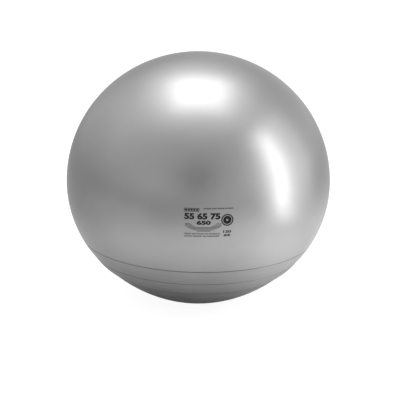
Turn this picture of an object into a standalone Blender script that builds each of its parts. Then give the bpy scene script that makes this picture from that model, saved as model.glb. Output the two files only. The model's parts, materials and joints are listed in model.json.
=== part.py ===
"""Inflatable exercise ball with a stepped, weighted base, modelled in metres with +Z up.

The origin is the centre of the flat patch that the ball rests on. The printed front faces -Y and
the valve is on the back. The ball is a turned shape: an elliptical upper part, and three bands
towards the floor where heavier material inside keeps the skin from stretching into a full sphere.
"""

import math

import bmesh
import bpy
from mathutils import Vector

# The skin, pumped up and standing on the floor
BALL_RADIUS = 0.325  # at the equator, so the ball is 65 cm across
CROWN_RISE = 0.318  # from the equator to the top
EQUATOR_HEIGHT = 0.300
LOWER_SEMI_AXIS = 0.3003  # of the ellipse between the equator and the widest ring
SKIN_WALL = 0.0010

# The three rings where the profile kinks, and the flat patch on the floor
WIDE_RING_DROP = 0.137  # below the equator
MIDDLE_RING = Vector((0.2605, 0.1217))  # radius, height
INNER_RING = Vector((0.2255, 0.0865))
FOOT_RADIUS = 0.060
BAND_BULGES = (0.025, 0.050, 0.065)  # of each band's chord, from the widest ring to the foot

# The three castings inside, each lying in the one outside it
LAYER_WALL = 0.0015
GAP = 0.0003

# The valve
VALVE_LATITUDE = math.radians(22.5)  # eccentric angle above the equator
SEAT_RADIUS = 0.0127
SEAT_LIP_HEIGHT = 0.0008
SEAT_LIP_ROUND = 0.0006
SEAT_FLANGE_RADIUS = 0.0220
SEAT_FLANGE_GAP = 0.0015  # clears the skin's flat facets, which dip inside the true surface
SEAT_FLANGE_THICKNESS = 0.0018
SEAT_NECK_RADIUS = 0.0076
SEAT_NECK_LENGTH = 0.0200
RECESS_RADIUS = 0.0096
RECESS_DEPTH = 0.0024
BORE_RADIUS = 0.0053
PLUG_HEAD_RADIUS = 0.0091
PLUG_HEAD_PROUD = 0.0006
PLUG_STEM_RADIUS = 0.0049
PLUG_TIP_RADIUS = 0.0034
PLUG_STEM_LENGTH = 0.0215

BALL_STEPS = 48
VALVE_STEPS = 32
CROWN_ROWS = 12
WAIST_ROWS = 4
BAND_ROWS = (2, 2, 4)


def clear_scene():
    for thing in list(bpy.data.objects):
        bpy.data.objects.remove(thing, do_unlink=True)


def new_collection(name):
    collection = bpy.data.collections.new(name)
    bpy.context.scene.collection.children.link(collection)
    return collection


def material(name, colour, roughness, metallic=0.0):
    made = bpy.data.materials.new(name)
    made.use_nodes = True
    shader = made.node_tree.nodes["Principled BSDF"]
    shader.inputs["Base Color"].default_value = (*colour, 1.0)
    shader.inputs["Roughness"].default_value = roughness
    shader.inputs["Metallic"].default_value = metallic
    return made


def ellipse_arc(height, start, end, rows):
    """Points (radius, height) on an ellipse as wide as the ball, from angle start to end."""
    angles = (start + (end - start) * i / rows for i in range(rows + 1))
    return [
        Vector((BALL_RADIUS * math.cos(a), EQUATOR_HEIGHT + height * math.sin(a))) for a in angles
    ]


def bulged_band(start, end, bulge, rows):
    """Points from start to end on a parabola that stands out from the chord by bulge times it."""
    chord = end - start
    outward = Vector((-chord.y, chord.x))
    points = []
    for i in range(1, rows + 1):
        t = i / rows
        points.append(start + chord * t + outward * 4 * t * (1 - t) * bulge)
    return points


def ball_profile():
    """The skin's outer profile from the top to the bottom, and the row where each ring lies."""
    crown = ellipse_arc(CROWN_RISE, math.pi / 2, 0.0, CROWN_ROWS)
    crown[0].x = 0.0
    ring_angle = -math.asin(WIDE_RING_DROP / LOWER_SEMI_AXIS)
    points = crown + ellipse_arc(LOWER_SEMI_AXIS, 0.0, ring_angle, WAIST_ROWS)[1:]
    ring_rows = [len(points) - 1]
    foot_edge = Vector((FOOT_RADIUS, 0.0))
    for end, bulge, rows in zip((MIDDLE_RING, INNER_RING, foot_edge), BAND_BULGES, BAND_ROWS):
        points += bulged_band(points[-1], end, bulge, rows)
        ring_rows.append(len(points) - 1)
    points.append(Vector((0.0, 0.0)))
    return points, ring_rows[:3]


def inset(points, distance):
    """The profile moved inwards, square to itself, with mitred corners."""
    moved = []
    for i, point in enumerate(points):
        before = (point - points[i - 1]).normalized() if i else None
        after = (points[i + 1] - point).normalized() if i + 1 < len(points) else None
        before, after = before or after, after or before
        normals = [Vector((d.y, -d.x)) for d in (before, after)]
        middle = (normals[0] + normals[1]).normalized()
        moved.append(point + middle * distance / middle.dot(normals[0]))
    return moved


def turned(name, points, steps, collection, look, closed=False):
    """An object whose profile of (radius, height) points is turned about its own Z axis."""
    mesh = bpy.data.meshes.new(name)
    bm = bmesh.new()
    vertices = [bm.verts.new((p[0], 0.0, p[1])) for p in points]
    for first, second in zip(vertices, vertices[1:] + vertices[:1] if closed else vertices[1:]):
        bm.edges.new((first, second))
    bm.to_mesh(mesh)
    bm.free()
    made = bpy.data.objects.new(name, mesh)
    collection.objects.link(made)
    screw = made.modifiers.new("Turn", "SCREW")
    screw.steps = screw.render_steps = steps
    screw.use_merge_vertices = True
    screw.merge_threshold = 0.00001
    screw.use_smooth_shade = True
    if look is not None:
        mesh.materials.append(look)
    return made


def valve_axis(collection):
    """An empty on the skin where the valve sits, with its Z axis out of the ball, square to it."""
    place = Vector(
        (
            0.0,
            BALL_RADIUS * math.cos(VALVE_LATITUDE),
            EQUATOR_HEIGHT + CROWN_RISE * math.sin(VALVE_LATITUDE),
        )
    )
    outward = Vector(
        (0.0, math.cos(VALVE_LATITUDE) / BALL_RADIUS, math.sin(VALVE_LATITUDE) / CROWN_RISE)
    )
    axis = bpy.data.objects.new("valve_axis", None)
    axis.location = place
    axis.rotation_mode = "QUATERNION"
    axis.rotation_quaternion = outward.to_track_quat("Z", "X")
    axis.empty_display_size = 0.05
    collection.objects.link(axis)
    return axis


def make_skin(points, collection, cutters, axis):
    look = material("silver_vinyl", (0.36, 0.36, 0.37), 0.32, 0.65)
    skin = turned("ball_skin", points, BALL_STEPS, collection, look)
    shell = skin.modifiers.new("Wall", "SOLIDIFY")
    shell.thickness = SKIN_WALL
    shell.offset = -1.0
    shell.use_even_offset = True

    hole_radius = SEAT_RADIUS + GAP
    half_depth = 0.010
    cutter_profile = [(0.0, half_depth), (hole_radius, half_depth)]
    cutter_profile += [(hole_radius, -half_depth), (0.0, -half_depth)]
    cutter = turned("valve_hole_cutter", cutter_profile, VALVE_STEPS, cutters, None)
    cutter.parent = axis
    cutter.hide_render = True
    cutter.display_type = "WIRE"
    hole = skin.modifiers.new("Valve hole", "BOOLEAN")
    hole.operation = "DIFFERENCE"
    hole.object = cutter


def make_base_layers(points, ring_rows, collection):
    """Three dishes of heavier material, one inside another, each ending at one of the rings."""
    look = material("ballast_vinyl", (0.10, 0.10, 0.11), 0.55)
    depth = SKIN_WALL + GAP
    for name, row in zip(("wide", "middle", "inner"), ring_rows):
        outer = inset(points[row:], depth)
        inner = inset(points[row:], depth + LAYER_WALL)
        for side in (outer, inner):
            side[-1].x = 0.0
        turned(f"base_layer_{name}", inner[::-1] + outer, BALL_STEPS, collection, look)
        depth += LAYER_WALL + GAP


def make_valve_seat(collection, axis):
    """A moulded bush: a lip round the plug's recess, a flange under the skin and a neck inside."""
    skin_sag = SEAT_FLANGE_RADIUS**2 / (2 * BALL_RADIUS)
    flange_top = -SKIN_WALL - SEAT_FLANGE_GAP
    flange_edge = flange_top - skin_sag
    flange_bottom = flange_edge - SEAT_FLANGE_THICKNESS
    neck_top = flange_bottom - SEAT_FLANGE_THICKNESS
    profile = [
        (RECESS_RADIUS + SEAT_LIP_ROUND, SEAT_LIP_HEIGHT),
        (SEAT_RADIUS - SEAT_LIP_ROUND, SEAT_LIP_HEIGHT),
        (SEAT_RADIUS, SEAT_LIP_HEIGHT - SEAT_LIP_ROUND),
        (SEAT_RADIUS, flange_top),
        (SEAT_FLANGE_RADIUS, flange_edge),
        (SEAT_FLANGE_RADIUS, flange_bottom),
        (SEAT_RADIUS, flange_bottom),
        (SEAT_NECK_RADIUS, neck_top),
        (SEAT_NECK_RADIUS, -SEAT_NECK_LENGTH),
        (BORE_RADIUS, -SEAT_NECK_LENGTH),
        (BORE_RADIUS, -RECESS_DEPTH),
        (RECESS_RADIUS, -RECESS_DEPTH),
        (RECESS_RADIUS, SEAT_LIP_HEIGHT - SEAT_LIP_ROUND),
    ]
    look = material("valve_vinyl", (0.33, 0.33, 0.34), 0.45, 0.2)
    seat = turned("valve_seat", profile, VALVE_STEPS, collection, look, closed=True)
    seat.parent = axis


def make_valve_plug(collection, axis):
    """A T-shaped plug: a domed head that fills the recess, and a stem tapered at its tip."""
    head_bottom = -RECESS_DEPTH + GAP
    edge_round = 0.0005
    taper = 0.0060
    profile = [
        (0.0, PLUG_HEAD_PROUD + edge_round),
        (PLUG_HEAD_RADIUS * 0.6, PLUG_HEAD_PROUD + edge_round * 0.7),
        (PLUG_HEAD_RADIUS - edge_round, PLUG_HEAD_PROUD),
        (PLUG_HEAD_RADIUS, PLUG_HEAD_PROUD - edge_round),
        (PLUG_HEAD_RADIUS, head_bottom + edge_round),
        (PLUG_HEAD_RADIUS - edge_round, head_bottom),
        (PLUG_STEM_RADIUS, head_bottom),
        (PLUG_STEM_RADIUS, taper - PLUG_STEM_LENGTH),
        (PLUG_TIP_RADIUS, -PLUG_STEM_LENGTH),
        (0.0, -PLUG_STEM_LENGTH),
    ]
    look = material("plug_plastic", (0.75, 0.75, 0.74), 0.4)
    plug = turned("valve_plug", profile, VALVE_STEPS, collection, look)
    plug.parent = axis


def main():
    clear_scene()
    parts = new_collection("exercise_ball")
    cutters = new_collection("cutters")
    points, ring_rows = ball_profile()
    axis = valve_axis(parts)
    make_skin(points, parts, cutters, axis)
    make_base_layers(points, ring_rows, parts)
    make_valve_seat(parts, axis)
    make_valve_plug(parts, axis)


main()
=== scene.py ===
"""The looks of an inflatable exercise ball with a stepped, weighted base.

The smooth skin, the three castings in the base, the valve and the print are made here around the
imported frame. Lengths are in metres, +Z is up, the printed front faces -Y and the floor is z = 0.
"""

import json
import math

import bmesh
import bpy
from mathutils import Matrix, Vector


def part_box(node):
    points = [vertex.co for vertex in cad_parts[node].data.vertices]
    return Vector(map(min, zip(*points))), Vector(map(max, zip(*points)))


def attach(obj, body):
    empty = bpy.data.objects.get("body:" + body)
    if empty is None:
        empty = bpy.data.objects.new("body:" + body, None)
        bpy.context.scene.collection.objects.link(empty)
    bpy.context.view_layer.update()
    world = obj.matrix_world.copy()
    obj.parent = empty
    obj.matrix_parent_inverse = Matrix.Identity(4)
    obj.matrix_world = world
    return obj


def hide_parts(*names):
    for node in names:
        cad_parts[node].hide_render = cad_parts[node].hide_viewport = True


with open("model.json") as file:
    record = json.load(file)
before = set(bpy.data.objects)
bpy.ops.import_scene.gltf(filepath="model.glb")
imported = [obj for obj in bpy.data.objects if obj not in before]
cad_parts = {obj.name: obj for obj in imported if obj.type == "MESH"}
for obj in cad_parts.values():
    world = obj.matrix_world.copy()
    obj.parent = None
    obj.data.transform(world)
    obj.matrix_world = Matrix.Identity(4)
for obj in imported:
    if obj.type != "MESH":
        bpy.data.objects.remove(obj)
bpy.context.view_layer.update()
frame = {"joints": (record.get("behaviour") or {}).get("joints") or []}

# The skin's outline, as radius and height
SKIN_LOW, SKIN_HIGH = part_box("ball_skin")
BALL_RADIUS = (SKIN_HIGH.x - SKIN_LOW.x) / 2
EQUATOR = 0.300
CROWN_RISE = SKIN_HIGH.z - EQUATOR
LOWER_SEMI_AXIS = 0.3003
WIDE_RING_DROP = 0.137
MIDDLE_RING = Vector((0.2605, 0.1217))
INNER_RING = Vector((0.2255, 0.0865))
FOOT_RADIUS = 0.060
FOOT_FILLET = 0.040
BAND_BULGES = (0.025, 0.050, 0.065)
SKIN_WALL = 0.0010

# The moulded groove at each ring, from the widest ring to the narrowest, and how far it reaches to
# each side of its deepest line. The skin's wall bounds the depth.
GROOVE_DEPTHS = (0.0009, 0.0008, 0.0007)
GROOVE_REACH = 0.00085

# Painted shade: the share of its brightness that the vinyl keeps in each groove, on the band below
# each groove, and at the foot, where it darkens between these two heights
GROOVE_PAINTED_SHADES = (0.42, 0.50, 0.52)
GROOVE_LINE_DROP = 0.0002  # of the painted shade's middle line below the ring
GROOVE_SHADE_EDGE = (0.0005, 0.0019)  # from that line, where the painted shade starts and ends to fade
BAND_PAINTED_SHADES = (0.97, 0.93, 0.78)
BAND_SHADE_FADE = 0.003
FOOT_PAINTED_SHADE = 0.66
FOOT_SHADE_HEIGHTS = (0.010, 0.070)

# The castings in the base
LAYER_WALL = 0.0015
LAYER_GAP = 0.0003

# The valve, along its own axis from the skin's surface
VALVE_LATITUDE = math.radians(22.5)
SEAT_RADIUS = 0.0127
SEAT_LIP = 0.0008
SEAT_FLANGE_RADIUS = 0.0220
SEAT_FLANGE_GAP = 0.0015
SEAT_FLANGE_THICKNESS = 0.0018
SEAT_NECK_RADIUS = 0.0076
SEAT_NECK_LENGTH = 0.0200
BOSS_RADIUS = 0.0235
BOSS_PROUD = 0.0005
BOSS_ROOT = 0.0010
BOSS_EDGE_ROUND = 0.0006
BOSS_RIB_RADIUS = 0.0202
BOSS_RIB_HEIGHT = 0.0003
BOSS_RIB_WIDTH = 0.0006
RECESS_RADIUS = 0.0096
RECESS_DEPTH = 0.0024
BORE_RADIUS = 0.0053
PLUG_HEAD_RADIUS = 0.0091
PLUG_STEM_RADIUS = 0.0049
PLUG_TIP_RADIUS = 0.0034
PLUG_STEM_LENGTH = 0.0215

# The print on the front: how far its film goes into the skin and stands out of it, and the plain
# numbers in it, each with its place and size in millimetres (left along the widest circle, bottom,
# width, height) and how much its strokes are thickened
INK_ROOT = 0.00010
INK_PROUD = 0.00015
PRINTED_NUMBERS = (
    ("55 65 75", -30.0, 302.0, 81.5, 15.4, 0.050),
    ("650", -2.0, 289.6, 32.0, 10.2, 0.055),
    ("120", 58.5, 269.6, 19.0, 6.0, 0.045),
    ("65", 60.0, 261.0, 16.0, 6.0, 0.045),
)

BALL_STEPS = 256
VALVE_STEPS = 96


# ---------------------------------------------------------------- profiles


def ellipse_arc(height, start, end, rows):
    """Points (radius, height) on an ellipse as wide as the ball, from angle start to end."""
    angles = [start + (end - start) * i / rows for i in range(rows + 1)]
    return [Vector((BALL_RADIUS * math.cos(a), EQUATOR + height * math.sin(a))) for a in angles]


def bulged_band(start, end, bulge, rows):
    """Points from start to end on a parabola that stands out from the chord by bulge times it."""
    chord = end - start
    outward = Vector((-chord.y, chord.x))
    steps = [i / rows for i in range(rows + 1)]
    return [start + chord * t + outward * 4 * t * (1 - t) * bulge for t in steps]


def filleted(points, corner, radius, rows=8):
    """The same path with the corner at index corner rounded by a curve tangent to both sides."""
    at = points[corner]
    before = (points[corner - 1] - at).normalized()
    after = (points[corner + 1] - at).normalized()
    reach = radius / math.tan(before.angle(after) / 2)
    start, end = at + before * reach, at + after * reach
    kept = [p for p in points[:corner] if (p - at).length > reach]
    curve = []
    for i in range(rows + 1):
        t = i / rows
        curve.append(start * (1 - t) ** 2 + at * 2 * t * (1 - t) + end * t**2)
    return kept + curve + points[corner + 1 :]


def running_lengths(points):
    """How far along the path each of its points is."""
    lengths = [0.0]
    for a, b in zip(points, points[1:]):
        lengths.append(lengths[-1] + (b - a).length)
    return lengths


def along(points, distances):
    """Points at these distances along a path."""
    lengths = running_lengths(points)
    found, i = [], 0
    for distance in distances:
        while i < len(points) - 2 and lengths[i + 1] < distance:
            i += 1
        share = (distance - lengths[i]) / (lengths[i + 1] - lengths[i])
        found.append(points[i].lerp(points[i + 1], share))
    return found


def inset(points, distance):
    """The profile moved inwards, square to itself, with mitred corners."""
    moved = []
    for i, point in enumerate(points):
        before = (point - points[i - 1]).normalized() if i else None
        after = (points[i + 1] - point).normalized() if i + 1 < len(points) else None
        before, after = before or after, after or before
        normals = [Vector((d.y, -d.x)) for d in (before, after)]
        middle = (normals[0] + normals[1]).normalized()
        moved.append(point + middle * distance / middle.dot(normals[0]))
    return moved


def smooth_profile(crown_rows, waist_rows, band_rows):
    """The skin's outer profile from top to bottom without the grooves, and each ring's index."""
    points = ellipse_arc(CROWN_RISE, math.pi / 2, 0.0, crown_rows)
    points[0].x = 0.0
    ring_angle = -math.asin(WIDE_RING_DROP / LOWER_SEMI_AXIS)
    points += ellipse_arc(LOWER_SEMI_AXIS, 0.0, ring_angle, waist_rows)[1:]
    rings = [len(points) - 1]
    foot_edge = Vector((FOOT_RADIUS, 0.0))
    for end, bulge, rows in zip((MIDDLE_RING, INNER_RING, foot_edge), BAND_BULGES, band_rows):
        points += bulged_band(points[-1], end, bulge, rows)[1:]
        rings.append(len(points) - 1)
    points.append(Vector((0.0, 0.0)))
    return filleted(points, rings[3], FOOT_FILLET), rings[:3]


def grooved_profile():
    """The skin's outer profile with a rounded groove at each ring and close points across it."""
    path, rings = smooth_profile(240, 60, (40, 40, 120))
    lengths = running_lengths(path)
    ring_at = [lengths[i] for i in rings]
    coarse, fine, growth, close = 0.0065, 0.00017, 0.35, GROOVE_REACH * 1.3

    distances = [0.0]
    while distances[-1] < lengths[-1]:
        here = distances[-1]
        gap = min(abs(here - at) for at in ring_at) - close
        step = fine if gap <= 0 else min(coarse, fine + growth * gap)
        distances.append(here + step)
    distances[-1] = lengths[-1]
    found = along(path, distances)

    points = []
    for i, (point, distance) in enumerate(zip(found, distances)):
        depth = 0.0
        for at, deepest in zip(ring_at, GROOVE_DEPTHS):
            across = abs(distance - at) / GROOVE_REACH
            if across < 1:
                depth = deepest * (1 + math.cos(math.pi * across)) / 2
        if depth:
            run = (found[i + 1] - found[i - 1]).normalized()
            point = point + Vector((run.y, -run.x)) * depth
        points.append(point)
    points[-1].x = 0.0
    return points


# ---------------------------------------------------------------- mesh tools


def turned(name, chains, steps, closed=False):
    """An object whose chains of (radius, height) points are turned about its own Z axis."""
    mesh = bpy.data.meshes.new(name)
    bm = bmesh.new()
    for points in chains:
        vertices = [bm.verts.new((p[0], 0.0, p[1])) for p in points]
        ends = vertices[1:] + vertices[:1] if closed else vertices[1:]
        for first, second in zip(vertices, ends):
            bm.edges.new((first, second))
    bm.to_mesh(mesh)
    bm.free()
    made = bpy.data.objects.new(name, mesh)
    bpy.context.scene.collection.objects.link(made)
    screw = made.modifiers.new("Turn", "SCREW")
    screw.steps = screw.render_steps = steps
    screw.use_merge_vertices = True
    screw.merge_threshold = 0.00001
    settle(made)
    return made


def settle(made):
    """Puts what the modifiers make into the mesh and removes the modifiers."""
    bpy.context.view_layer.update()
    graph = bpy.context.evaluated_depsgraph_get()
    mesh = bpy.data.meshes.new_from_object(made.evaluated_get(graph))
    mesh.name = made.name
    made.modifiers.clear()
    made.data = mesh


def tidy_up(bm):
    """Merges points that lie on each other and takes out the slivers between them."""
    bmesh.ops.remove_doubles(bm, verts=bm.verts[:], dist=0.00002)
    bmesh.ops.dissolve_degenerate(bm, dist=0.00001, edges=bm.edges[:])


def shade(made, sharp_degrees=35):
    """Smooth shading, with the edges that bend by more than sharp_degrees left sharp."""
    made.data.shade_smooth()
    made.data.set_sharp_from_angle(angle=math.radians(sharp_degrees))


def finish_piece(made, look, body, slot, *nodes):
    """Gives a piece its material, the body that it rides on and the nodes it stands for. slot is not
    used.
    """
    made.data.materials.clear()
    made.data.materials.append(look)
    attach(made, body)
    if nodes:
        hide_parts(*nodes)


def rounded(points, radius, rows=4):
    """A closed profile with every corner rounded by radius, or less where a side is short."""
    count = len(points)
    corners = [Vector(p) for p in points]
    result = []
    for i, at in enumerate(corners):
        before, after = corners[i - 1] - at, corners[(i + 1) % count] - at
        if at.x == 0.0:
            result.append(at)
            continue
        reach = min(radius, 0.45 * before.length, 0.45 * after.length)
        start, end = at + before.normalized() * reach, at + after.normalized() * reach
        for row in range(rows + 1):
            t = row / rows
            result.append(start * (1 - t) ** 2 + at * 2 * t * (1 - t) + end * t**2)
    return result


# ---------------------------------------------------------------- materials


def grey(tone):
    return (tone, tone, tone)


class Nodes:
    """A material's node tree, with a short way to add a node and wire it."""

    def __init__(self, name):
        self.material = bpy.data.materials.new(name)
        self.material.use_nodes = True
        self.tree = self.material.node_tree
        self.shader = self.tree.nodes["Principled BSDF"]
        self.place = self.add("ShaderNodeTexCoord").outputs["Object"]

    def add(self, kind, **settings):
        node = self.tree.nodes.new(kind)
        for key, value in settings.items():
            setattr(node, key, value)
        return node

    def wire(self, source, target):
        self.tree.links.new(source, target)

    def noise(self, scale, detail=2.0, roughness=0.5):
        node = self.add("ShaderNodeTexNoise")
        node.inputs["Scale"].default_value = scale
        node.inputs["Detail"].default_value = detail
        node.inputs["Roughness"].default_value = roughness
        self.wire(self.place, node.inputs["Vector"])
        return node.outputs["Fac"]

    def ramp(self, source, low, high, start, end, interpolation_type="LINEAR"):
        """source mapped from low..high to start..end, clamped."""
        node = self.add("ShaderNodeMapRange", interpolation_type=interpolation_type)
        self.wire(source, node.inputs["Value"])
        node.inputs["From Min"].default_value = low
        node.inputs["From Max"].default_value = high
        node.inputs["To Min"].default_value = start
        node.inputs["To Max"].default_value = end
        return node.outputs["Result"]

    def math(self, operation, first, second):
        node = self.add("ShaderNodeMath", operation=operation)
        for socket, value in zip(node.inputs, (first, second)):
            if isinstance(value, (int, float)):
                socket.default_value = value
            else:
                self.wire(value, socket)
        return node.outputs["Value"]

    def mix(self, share, first, second):
        """The colour that is first where share is 0 and second where it is 1."""
        node = self.add("ShaderNodeMix", data_type="RGBA")
        self.wire(share, node.inputs["Factor"])
        colours = [socket for socket in node.inputs if socket.type == "RGBA"]
        for socket, value in zip(colours, (first, second)):
            if isinstance(value, tuple):
                socket.default_value = (*value, 1.0)
            else:
                self.wire(value, socket)
        return next(socket for socket in node.outputs if socket.type == "RGBA")

    def scaled(self, colour, amount):
        """colour times a number that varies over the surface."""
        node = self.add("ShaderNodeVectorMath", operation="SCALE")
        self.wire(colour, node.inputs["Vector"])
        self.wire(amount, node.inputs["Scale"])
        return node.outputs["Vector"]

    def distance(self, point):
        """How far the surface is from a point."""
        node = self.add("ShaderNodeVectorMath", operation="DISTANCE")
        self.wire(self.place, node.inputs[0])
        node.inputs[1].default_value = point
        return node.outputs["Value"]

    def bump(self, height, strength, distance):
        node = self.add("ShaderNodeBump")
        node.inputs["Strength"].default_value = strength
        node.inputs["Distance"].default_value = distance
        self.wire(height, node.inputs["Height"])
        self.wire(node.outputs["Normal"], self.shader.inputs["Normal"])

    def along(self, axis):
        """The surface's own X, Y or Z coordinate."""
        node = self.add("ShaderNodeSeparateXYZ")
        self.wire(self.place, node.inputs["Vector"])
        return node.outputs[axis]


def silver_vinyl():
    """Satin vinyl full of fine metal pigment, with painted shade in the grooves, on the bands below
    them and at the foot.
    """
    n = Nodes("silver_vinyl_look")
    height = n.along("Z")
    clouds = n.ramp(n.noise(7.0, 3.0, 0.55), 0.35, 0.65, 0.0, 1.0)
    pigment = n.mix(clouds, grey(0.393), grey(0.417))
    flecks = n.ramp(n.noise(1600.0, 1.0, 0.5), 0.3, 0.7, 0.94, 1.06)
    ring_heights = (EQUATOR - WIDE_RING_DROP, MIDDLE_RING.y, INNER_RING.y)
    # The flecks are the pigment's own; the foot, each groove and the band below it add painted shade
    kept = n.math("MULTIPLY", flecks, n.ramp(height, *FOOT_SHADE_HEIGHTS, FOOT_PAINTED_SHADE, 1.0))
    for ring, groove, band in zip(ring_heights, GROOVE_PAINTED_SHADES, BAND_PAINTED_SHADES):
        from_line = n.math("ABSOLUTE", n.math("SUBTRACT", height, ring - GROOVE_LINE_DROP), 0.0)
        kept = n.math("MULTIPLY", kept, n.ramp(from_line, *GROOVE_SHADE_EDGE, groove, 1.0))
        kept = n.math("MULTIPLY", kept, n.ramp(height, ring - BAND_SHADE_FADE, ring, band, 1.0))
    n.wire(n.scaled(pigment, kept), n.shader.inputs["Base Color"])
    n.shader.inputs["Metallic"].default_value = 1.0
    rough = n.ramp(n.noise(60.0, 3.0, 0.6), 0.3, 0.7, 0.315, 0.345)
    n.wire(rough, n.shader.inputs["Roughness"])
    grain = n.math("ADD", n.noise(900.0, 2.0, 0.5), n.math("MULTIPLY", n.noise(260.0, 2.0, 0.5), 1.5))
    n.bump(grain, 0.40, 0.0001)
    return n.material


def print_ink():
    """Black screen-print ink, a little thin in places."""
    n = Nodes("print_ink_look")
    thin = n.ramp(n.noise(700.0, 3.0, 0.6), 0.45, 0.75, 0.0, 1.0)
    n.wire(n.mix(thin, grey(0.006), grey(0.022)), n.shader.inputs["Base Color"])
    rough = n.ramp(n.noise(250.0, 2.0, 0.5), 0.3, 0.7, 0.45, 0.60)
    n.wire(rough, n.shader.inputs["Roughness"])
    n.shader.inputs["Specular IOR Level"].default_value = 0.25
    return n.material


def plain_vinyl(name, dark, light, roughness, grain_scale):
    """Moulded vinyl or plastic of one colour, with soft mottling and a fine grain."""
    n = Nodes(name)
    mottle = n.ramp(n.noise(45.0, 4.0, 0.6), 0.3, 0.7, 0.0, 1.0)
    n.wire(n.mix(mottle, dark, light), n.shader.inputs["Base Color"])
    rough = n.ramp(n.noise(180.0, 3.0, 0.6), 0.3, 0.7, roughness - 0.05, roughness + 0.07)
    n.wire(rough, n.shader.inputs["Roughness"])
    n.bump(n.noise(grain_scale, 3.0, 0.55), 0.25, 0.0002)
    return n.material


# ---------------------------------------------------------------- pieces


def valve_matrix():
    """Where the valve sits on the skin, with Z out of the ball."""
    place = Vector(
        (
            0.0,
            BALL_RADIUS * math.cos(VALVE_LATITUDE),
            EQUATOR + CROWN_RISE * math.sin(VALVE_LATITUDE),
        )
    )
    outward = Vector(frame["joints"][0]["axis"])
    return Matrix.Translation(place) @ outward.to_track_quat("Z", "X").to_matrix().to_4x4()


def valve_boss():
    """The skin's thicker round pad at the valve, with a soft edge and a fine rib near it."""
    profile = [Vector((0.0, BOSS_PROUD))]
    rows = 24
    for i in range(1, rows + 1):
        radius = BOSS_RADIUS * i / rows
        sag = radius**2 / (2 * BALL_RADIUS)
        rib = BOSS_RIB_HEIGHT * math.exp(-(((radius - BOSS_RIB_RADIUS) / BOSS_RIB_WIDTH) ** 2))
        profile.append(Vector((radius, BOSS_PROUD + rib - sag)))
    edge_top = profile[-1].y
    edge_rows = 4
    for i in range(1, edge_rows + 1):
        angle = math.pi / 2 * i / edge_rows
        radius = BOSS_RADIUS + BOSS_EDGE_ROUND * math.sin(angle)
        profile.append(Vector((radius, edge_top - BOSS_ROOT * (1 - math.cos(angle)))))
    profile.append(Vector((0.0, BOSS_PROUD - BOSS_ROOT)))
    return turned("valve_boss", [profile], VALVE_STEPS)


def joined(made, tool, operation):
    """made with tool added to it or cut out of it. tool is removed."""
    change = made.modifiers.new(operation, "BOOLEAN")
    change.operation = operation
    change.object = tool
    settle(made)
    bpy.data.objects.remove(tool)


def make_skin(valve):
    """The hollow ball, with its grooves, the round pad at the valve and the valve's hole."""
    outer = grooved_profile()
    inner, _ = smooth_profile(40, 10, (6, 6, 16))
    inner = inset(inner, SKIN_WALL)
    inner[0].x = inner[-1].x = 0.0
    skin = turned("skin", [outer, inner[::-1]], BALL_STEPS)
    boss = valve_boss()
    boss.matrix_world = valve
    joined(skin, boss, "UNION")
    hole_radius = SEAT_RADIUS + LAYER_GAP
    half_depth = 0.010
    cutter_profile = [(0.0, half_depth), (hole_radius, half_depth)]
    cutter_profile += [(hole_radius, -half_depth), (0.0, -half_depth)]
    cutter = turned("valve_hole_cutter", [cutter_profile], VALVE_STEPS)
    cutter.matrix_world = valve
    joined(skin, cutter, "DIFFERENCE")
    bm = bmesh.new()
    bm.from_mesh(skin.data)
    tidy_up(bm)
    bm.to_mesh(skin.data)
    bm.free()
    shade(skin, 50)
    return skin


def make_base_layers():
    """Three dishes of heavier material, one inside another, each ending at one of the rings."""
    path, rings = smooth_profile(40, 10, (10, 10, 24))
    depth = SKIN_WALL + LAYER_GAP
    dishes = []
    for name, ring in zip(("wide", "middle", "inner"), rings):
        outer = inset(path[ring:], depth)
        inner = inset(path[ring:], depth + LAYER_WALL)
        outer[-1].x = inner[-1].x = 0.0
        rim_top = [inner[0].lerp(outer[0], t) for t in (0.3, 0.7)]
        corner_drop = (outer[1] - outer[0]).normalized() * 0.0006
        rim = [inner[0] + corner_drop, *rim_top, outer[0] + corner_drop]
        dish = turned(f"base_{name}", [inner[:0:-1] + rim + outer[1:]], 128)
        shade(dish, 60)
        dishes.append((dish, f"base_layer_{name}"))
        depth += LAYER_WALL + LAYER_GAP
    return dishes


def make_valve_seat(valve):
    """A moulded bush: a lip round the plug's recess, a flange under the skin and a neck inside."""
    sag = SEAT_FLANGE_RADIUS**2 / (2 * BALL_RADIUS)
    flange_top = -SKIN_WALL - SEAT_FLANGE_GAP
    flange_edge = flange_top - sag
    flange_bottom = flange_edge - SEAT_FLANGE_THICKNESS
    profile = [
        (RECESS_RADIUS, SEAT_LIP),
        (SEAT_RADIUS, SEAT_LIP),
        (SEAT_RADIUS, flange_top),
        (SEAT_FLANGE_RADIUS, flange_edge),
        (SEAT_FLANGE_RADIUS, flange_bottom),
        (SEAT_RADIUS, flange_bottom),
        (SEAT_NECK_RADIUS, flange_bottom - SEAT_FLANGE_THICKNESS),
        (SEAT_NECK_RADIUS, -SEAT_NECK_LENGTH),
        (BORE_RADIUS, -SEAT_NECK_LENGTH),
        (BORE_RADIUS, -RECESS_DEPTH),
        (RECESS_RADIUS, -RECESS_DEPTH),
    ]
    seat = turned("seat", [rounded(profile, 0.0006)], VALVE_STEPS, closed=True)
    shade(seat, 60)
    seat.matrix_world = valve
    return seat


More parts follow.
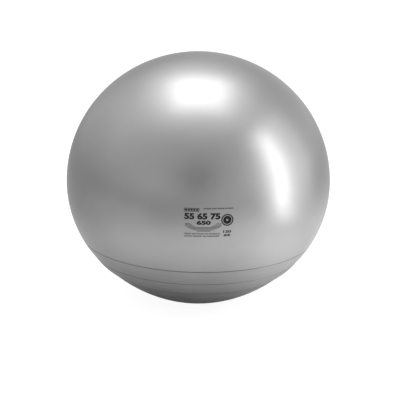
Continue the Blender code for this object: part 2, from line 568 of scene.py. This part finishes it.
def make_valve_plug(valve):
    """A T-shaped plug: a dished head, two ridges on the stem and a hollow in its tapered tip."""
    head_bottom = -RECESS_DEPTH + LAYER_GAP
    head_top = 0.0006
    rib = 0.00025
    taper = 0.0060
    hollow_radius, hollow_depth = 0.0022, 0.0090
    profile = [
        (0.0, head_top + 0.0001),
        (0.0016, head_top + 0.0001),
        (0.0020, head_top + 0.0005),
        (PLUG_HEAD_RADIUS * 0.6, head_top + 0.00035),
        (PLUG_HEAD_RADIUS, head_top - 0.0001),
        (PLUG_HEAD_RADIUS, head_bottom + 0.0003),
        (PLUG_HEAD_RADIUS - 0.0007, head_bottom),
        (PLUG_STEM_RADIUS, head_bottom),
    ]
    for ridge in (0.0065, 0.0105):
        profile += [
            (PLUG_STEM_RADIUS, -ridge + 0.0012),
            (PLUG_STEM_RADIUS + rib, -ridge + 0.0004),
            (PLUG_STEM_RADIUS + rib, -ridge - 0.0004),
            (PLUG_STEM_RADIUS, -ridge - 0.0012),
        ]
    profile += [
        (PLUG_STEM_RADIUS, -PLUG_STEM_LENGTH + taper),
        (PLUG_TIP_RADIUS, -PLUG_STEM_LENGTH),
        (hollow_radius, -PLUG_STEM_LENGTH),
        (hollow_radius * 0.8, -PLUG_STEM_LENGTH + hollow_depth),
        (0.0, -PLUG_STEM_LENGTH + hollow_depth),
    ]
    plug = turned("plug", [rounded(profile, 0.0003)], VALVE_STEPS)
    shade(plug, 60)
    plug.matrix_world = valve
    return plug


# ---------------------------------------------------------------- print


def lettered(text, left, bottom, width, height, weight):
    """Digits as flat faces, stretched to fill a box. weight thickens their strokes."""
    data = bpy.data.curves.new(text, "FONT")
    data.body = text
    data.offset = weight
    data.resolution_u = 4
    made = bpy.data.objects.new(text, data)
    bpy.context.scene.collection.objects.link(made)
    bpy.context.view_layer.update()
    graph = bpy.context.evaluated_depsgraph_get()
    mesh = bpy.data.meshes.new_from_object(made.evaluated_get(graph))
    bpy.data.objects.remove(made)
    low = Vector([min(v.co[i] for v in mesh.vertices) for i in range(3)])
    high = Vector([max(v.co[i] for v in mesh.vertices) for i in range(3)])
    for vertex in mesh.vertices:
        vertex.co.x = left + (vertex.co.x - low.x) / (high.x - low.x) * width
        vertex.co.y = bottom + (vertex.co.y - low.y) / (high.y - low.y) * height
    return mesh


def add_ring(sheet, across, up, outer, inner=0.0, steps=48):
    """A disc, or a ring where inner isn't zero, in the flat print."""
    middle = Vector((across, up, 0))
    angles = [2 * math.pi * i / steps for i in range(steps)]
    spokes = [Vector((math.cos(a), math.sin(a), 0)) for a in angles]
    outside = [sheet.verts.new(middle + outer * spoke) for spoke in spokes]
    if not inner:
        sheet.faces.new(outside)
        return
    inside = [sheet.verts.new(middle + inner * spoke) for spoke in spokes]
    for i in range(steps):
        j = (i + 1) % steps
        sheet.faces.new((outside[i], outside[j], inside[j], inside[i]))


def add_bar(sheet, left, bottom, width, height, corner=0.0006, steps=4):
    """A bar with rounded corners in the flat print."""
    radius = min(corner, height / 2, width / 2)
    sides = (left + radius, left + width - radius)
    levels = (bottom + radius, bottom + height - radius)
    points = []
    for turn, (side, level) in enumerate(((1, 1), (0, 1), (0, 0), (1, 0))):
        middle = Vector((sides[side], levels[level]))
        for i in range(steps + 1):
            angle = math.pi / 2 * (turn + i / steps)
            points.append(middle + radius * Vector((math.cos(angle), math.sin(angle))))
    sheet.faces.new([sheet.verts.new((*p, 0)) for p in points])


def add_frame(sheet, left, bottom, width, height, line):
    """The outline of a box in the flat print."""
    loops = []
    for edge in (0.0, line):
        sides = (left + edge, left + width - edge)
        low, high = bottom + edge, bottom + height - edge
        corners = [(sides[0], low), (sides[1], low), (sides[1], high), (sides[0], high)]
        loops.append([sheet.verts.new((*corner, 0)) for corner in corners])
    for i in range(4):
        j = (i + 1) % 4
        sheet.faces.new((loops[0][i], loops[0][j], loops[1][j], loops[1][i]))


def add_dashes(sheet, left, bottom, height, lengths, gap):
    """A row of short bars in the flat print."""
    for length in lengths:
        add_bar(sheet, left, bottom, length, height)
        left += length + gap


def add_ticks(sheet, left, bottom, height, words):
    """A row of fine upright ticks in groups, as plain as possible, in place of small print."""
    pitch, thickness, short = 0.0014, 0.0009, 0.72
    for count in words:
        for i in range(count):
            tall = height * (short if i % 3 else 1)
            add_bar(sheet, left, bottom, thickness, tall, thickness / 3, 2)
            left += pitch
        left += pitch


def flat_print():
    """The print as flat faces, with x along the ball's widest circle and y as height."""
    sheet = bmesh.new()
    mm = 0.001
    for text, left, bottom, width, height, weight in PRINTED_NUMBERS:
        mesh = lettered(text, left * mm, bottom * mm, width * mm, height * mm, weight)
        sheet.from_mesh(mesh)
        bpy.data.meshes.remove(mesh)

    add_frame(sheet, -31.0 * mm, 320.6 * mm, 34.5 * mm, 7.8 * mm, 1.2 * mm)
    add_dashes(sheet, -28.6 * mm, 322.6 * mm, 3.8 * mm, [4.9 * mm] * 5, 1.3 * mm)

    left_end, right_end, line, row_pitch = -28.0, 54.5, 1.2, 2.9
    for row, width in enumerate((12, 17, 22)):
        up = 291.3 - row_pitch * row
        for left in (left_end, right_end - width):
            add_bar(sheet, left * mm, up * mm, width * mm, line * mm)
    for row, width in enumerate((74, 62, 48, 32)):
        up = 282.6 - row_pitch * row
        add_bar(sheet, (14 - width / 2) * mm, up * mm, width * mm, line * mm)

    add_ring(sheet, 67.5 * mm, 300.5 * mm, 14.0 * mm, 11.2 * mm)
    add_ring(sheet, 67.5 * mm, 300.5 * mm, 9.6 * mm, 2.4 * mm)

    add_ticks(sheet, 14.0 * mm, 326.0 * mm, 3.4 * mm, (12, 8, 11, 14))
    add_ticks(sheet, -29.0 * mm, 266.4 * mm, 3.6 * mm, (11, 7, 12, 6, 18))
    add_ticks(sheet, -29.0 * mm, 260.6 * mm, 3.6 * mm, (13, 15, 6, 20))
    return sheet


def make_print():
    """Ink laid on the front of the ball in a thin film, cut finely enough to follow its curve."""
    sheet = flat_print()
    cut = 0.004
    for axis, start, end in ((0, -0.040, 0.090), (1, 0.250, 0.340)):
        for i in range(1, int((end - start) / cut)):
            point = Vector((0, 0, 0))
            point[axis] = start + i * cut
            normal = Vector((axis == 0, axis == 1, 0))
            everything = sheet.verts[:] + sheet.edges[:] + sheet.faces[:]
            bmesh.ops.bisect_plane(sheet, geom=everything, plane_co=point, plane_no=normal)
    tidy_up(sheet)
    bmesh.ops.triangulate(sheet, faces=[f for f in sheet.faces if len(f.verts) > 4])
    for face in sheet.faces:
        face.normal_update()
        if face.normal.z < 0:
            face.normal_flip()
    for vertex in sheet.verts:
        across, up = vertex.co.x / BALL_RADIUS, vertex.co.y - EQUATOR
        rise = CROWN_RISE if up > 0 else LOWER_SEMI_AXIS
        radius = BALL_RADIUS * math.sqrt(1 - (up / rise) ** 2)
        outward = Vector((radius / BALL_RADIUS**2, up / rise**2)).normalized()
        radius -= outward.x * INK_ROOT
        up -= outward.y * INK_ROOT
        vertex.co = (radius * math.sin(across), -radius * math.cos(across), EQUATOR + up)
    mesh = bpy.data.meshes.new("front_print")
    sheet.to_mesh(mesh)
    sheet.free()
    ink = bpy.data.objects.new("front_print", mesh)
    bpy.context.scene.collection.objects.link(ink)
    film = ink.modifiers.new("Film", "SOLIDIFY")
    film.thickness = INK_ROOT + INK_PROUD
    film.offset = 1.0
    settle(ink)
    shade(ink, 35)
    return ink


# ---------------------------------------------------------------- studio


def heading(azimuth, elevation):
    """A direction from the ball: azimuth 0 is the camera's side, 90 is +X, in degrees."""
    a, e = math.radians(azimuth), math.radians(elevation)
    return Vector((math.sin(a) * math.cos(e), -math.cos(a) * math.cos(e), math.sin(e)))


# Soft patches on the studio's even grey walls: azimuth, elevation, the angles from the patch's
# middle where it starts and ends to fade, in degrees, and how much brighter or darker it is
WALL = 0.80
WALL_PATCHES = (
    (0, 17.5, 4, 20, -0.30),
    (0, 40, 5, 50, -0.20),
    (-90, 0, 5, 60, -0.20),
    (-135, 0, 5, 60, -0.20),
    (-120, 40, 5, 50, 0.30),
    (180, 40, 5, 50, -0.20),
    (180, 60, 10, 40, 0.30),
    (0, 90, 15, 45, 0.40),
)

# The floor that the camera sees: a painted pool of light, white round the ball and beyond it, and
# between these distances from a point behind the ball it fades to a pale grey. It gives some light
# of its own, which hides most of the ball's shadow.
FLOOR_SIZE = 40.0
FLOOR_DROP = 0.0002  # below the ball's foot, so that the two never touch
FLOOR_PAPER_DARK = 0.245
FLOOR_PAPER_LIGHT = 0.255
FLOOR_OWN_LIGHT = 0.92
FLOOR_LIT_CENTRE = (0.0, 2.5, 0.0)
FLOOR_LIT_EDGE = (3.6, 6.0)
FLOOR_FAR_SHARE = 0.60
BACKDROP_TONE = 0.67

# The floor that the ball mirrors: a pale round sheet under the ball that fades out between two
# radii, on a floor with painted shade that makes it darker on the left than on the right, and with
# soft painted pools of light that glow (x, y, the radii where each starts and ends to fade, and its
# strength)
SHEET_CENTRE = (0.36, -0.16, 0.0)
SHEET_EDGE = (0.45, 1.20)
SHEET_TONE = 0.92
FLOOR_SHADED_TONE_LEFT = 0.46
FLOOR_TONE_RIGHT = 0.66
FLOOR_SIDES = (-1.3, 1.0)
FLOOR_GLOWS = (
    (1.10, -0.42, 0.05, 0.30, 2.00),
    (0.40, -0.22, 0.05, 0.32, 0.40),
    (-0.50, -0.50, 0.05, 0.45, 0.15),
    (-1.00, -1.00, 0.05, 0.45, 0.30),
    (-1.50, -0.50, 0.20, 0.90, 0.20),
)


def make_world():
    """Even grey walls with soft brighter and darker patches. The camera itself sees a plain tone."""
    world = bpy.data.worlds.new("studio")
    bpy.context.scene.world = world
    world.use_nodes = True
    tree = world.node_tree
    place = tree.nodes.new("ShaderNodeTexCoord")
    total = None
    for azimuth, elevation, inner, outer, amount in WALL_PATCHES:
        toward = tree.nodes.new("ShaderNodeVectorMath")
        toward.operation = "DOT_PRODUCT"
        toward.inputs[1].default_value = heading(azimuth, elevation)
        tree.links.new(place.outputs["Generated"], toward.inputs[0])
        patch = tree.nodes.new("ShaderNodeMapRange")
        patch.interpolation_type = "SMOOTHSTEP"
        patch.inputs["From Min"].default_value = math.cos(math.radians(outer))
        patch.inputs["From Max"].default_value = math.cos(math.radians(inner))
        patch.inputs["To Max"].default_value = amount
        tree.links.new(toward.outputs["Value"], patch.inputs["Value"])
        add = tree.nodes.new("ShaderNodeMath")
        add.inputs[0].default_value = WALL
        if total:
            tree.links.new(total, add.inputs[0])
        tree.links.new(patch.outputs["Result"], add.inputs[1])
        total = add.outputs["Value"]
    path = tree.nodes.new("ShaderNodeLightPath")
    seen = tree.nodes.new("ShaderNodeMix")
    tree.links.new(path.outputs["Is Camera Ray"], seen.inputs["Factor"])
    tree.links.new(total, seen.inputs["A"])
    seen.inputs["B"].default_value = BACKDROP_TONE
    tree.links.new(seen.outputs["Result"], tree.nodes["Background"].inputs["Strength"])
    tree.nodes["Background"].inputs["Color"].default_value = (1, 1, 1, 1)


def make_floor(name, height, seen):
    """A wide plane, which only the camera sees, or which only the ball mirrors."""
    bpy.ops.mesh.primitive_plane_add(size=FLOOR_SIZE, location=(0, 0, height))
    floor = bpy.context.object
    floor.name = name
    floor.visible_camera = seen
    floor.visible_glossy = not seen
    floor.visible_diffuse = not seen
    floor.visible_shadow = not seen
    n = Nodes(f"{name}_look")
    n.shader.inputs["Roughness"].default_value = 0.9
    n.shader.inputs["Specular IOR Level"].default_value = 0.0
    n.shader.inputs["Emission Color"].default_value = (1, 1, 1, 1)
    floor.data.materials.append(n.material)
    return n


def make_seen_floor():
    n = make_floor("floor_seen", -FLOOR_DROP, True)
    mottle = n.ramp(n.noise(0.8, 2.0), 0.3, 0.7, 0.0, 1.0)
    paper = n.mix(mottle, grey(FLOOR_PAPER_DARK), grey(FLOOR_PAPER_LIGHT))
    # Painted pool of light: the paper's colour and its own light both fade away from a point behind
    # the ball
    away = n.distance(FLOOR_LIT_CENTRE)
    lit = n.ramp(away, *FLOOR_LIT_EDGE, 1.0, FLOOR_FAR_SHARE, "SMOOTHSTEP")
    n.wire(n.scaled(paper, lit), n.shader.inputs["Base Color"])
    n.wire(n.math("MULTIPLY", lit, FLOOR_OWN_LIGHT), n.shader.inputs["Emission Strength"])


def make_mirrored_floor():
    n = make_floor("floor_mirrored", -2 * FLOOR_DROP, False)
    # Painted shade: the floor darkens towards the left
    side = n.ramp(n.along("X"), *FLOOR_SIDES, 0.0, 1.0)
    beyond = n.mix(side, grey(FLOOR_SHADED_TONE_LEFT), grey(FLOOR_TONE_RIGHT))
    off_sheet = n.ramp(n.distance(SHEET_CENTRE), *SHEET_EDGE, 0.0, 1.0)
    n.wire(n.mix(off_sheet, grey(SHEET_TONE), beyond), n.shader.inputs["Base Color"])
    # Painted pools of light, given as the floor's own glow
    glow = 0.0
    for x, y, inner, outer, strength in FLOOR_GLOWS:
        spot = n.ramp(n.distance((x, y, 0.0)), inner, outer, strength, 0.0)
        glow = n.math("ADD", glow, spot)
    n.wire(glow, n.shader.inputs["Emission Strength"])


def soft_box(name, azimuth, distance, height, size, radiance, tilt=0.0):
    """A rectangular light with this even radiance. One at the side faces level, one above the ball."""
    data = bpy.data.lights.new(name, "AREA")
    data.shape = "RECTANGLE"
    data.size, data.size_y = size
    data.energy = radiance * math.pi * size[0] * size[1]
    lamp = bpy.data.objects.new(name, data)
    bpy.context.scene.collection.objects.link(lamp)
    lamp.location = heading(azimuth, 0) * distance + Vector((0, 0, height))
    aim_height = height if distance > height else EQUATOR
    aim = Vector((0, 0, aim_height)) - lamp.location
    turn = Matrix.Rotation(math.radians(tilt), 3, "Z")
    lamp.rotation_euler = (aim.to_track_quat("-Z", "Y").to_matrix() @ turn).to_euler()
    lamp.visible_camera = False
    return lamp


def make_lights():
    """A tall strip on the right and a square box overhead, each with the light spilt round it.

    The overhead lights differ in height because no two lights may lie in one plane.
    """
    soft_box("strip", 68.3, 1.55, 0.79, (0.26, 1.78), 3.20, -1.6)
    soft_box("strip_spill", 71, 1.60, 1.00, (1.1, 2.0), 0.25, -1.6)
    soft_box("side_spill", 80, 1.60, 1.00, (1.6, 2.0), 0.50, -1.6)
    soft_box("overhead_core", 180, 0.15, 2.27, (1.0, 1.0), 0.70)
    soft_box("overhead", 180, 0.15, 2.30, (1.4, 1.4), 1.10)
    soft_box("overhead_spill", 180, 0.30, 2.33, (2.4, 2.4), 0.15)


def make_camera():
    """At the viewing angle, a little above the ball, with the lens of a product shot."""
    distance, elevation, roll = 3.2, math.radians(16.2), math.radians(1.18)
    centre = Vector((0, 0, EQUATOR))
    data = bpy.data.cameras.new("camera")
    data.sensor_width = 36.0
    data.lens = 116.1
    data.shift_x = 0.0042
    data.shift_y = -0.0501
    camera = bpy.data.objects.new("camera", data)
    bpy.context.scene.collection.objects.link(camera)
    away = Vector((0, -math.cos(elevation), math.sin(elevation)))
    camera.location = centre + away * distance
    look = (-away).to_track_quat("-Z", "Y").to_matrix()
    camera.rotation_euler = (look @ Matrix.Rotation(roll, 3, "Z")).to_euler()
    bpy.context.scene.camera = camera


def main():
    valve = valve_matrix()
    vinyl = silver_vinyl()
    ballast = plain_vinyl("ballast_vinyl_look", (0.02, 0.02, 0.022), (0.03, 0.03, 0.032), 0.55, 300.0)
    seat_vinyl = plain_vinyl("valve_vinyl_look", (0.27, 0.27, 0.28), (0.31, 0.31, 0.32), 0.42, 900.0)
    plug_white = plain_vinyl("plug_plastic_look", (0.70, 0.70, 0.68), (0.76, 0.76, 0.74), 0.38, 900.0)

    finish_piece(make_skin(valve), vinyl, "ball", "silver_vinyl", "ball_skin")
    for dish, node in make_base_layers():
        finish_piece(dish, ballast, "ball", "ballast_vinyl", node)
    finish_piece(make_valve_seat(valve), seat_vinyl, "ball", "valve_vinyl", "valve_seat")
    finish_piece(make_valve_plug(valve), plug_white, "plug", "plug_plastic", "valve_plug")

    finish_piece(make_print(), print_ink(), "ball", None)

    make_world()
    make_seen_floor()
    make_mirrored_floor()
    make_lights()
    make_camera()
    bpy.context.scene.view_settings.view_transform = "Standard"


main()
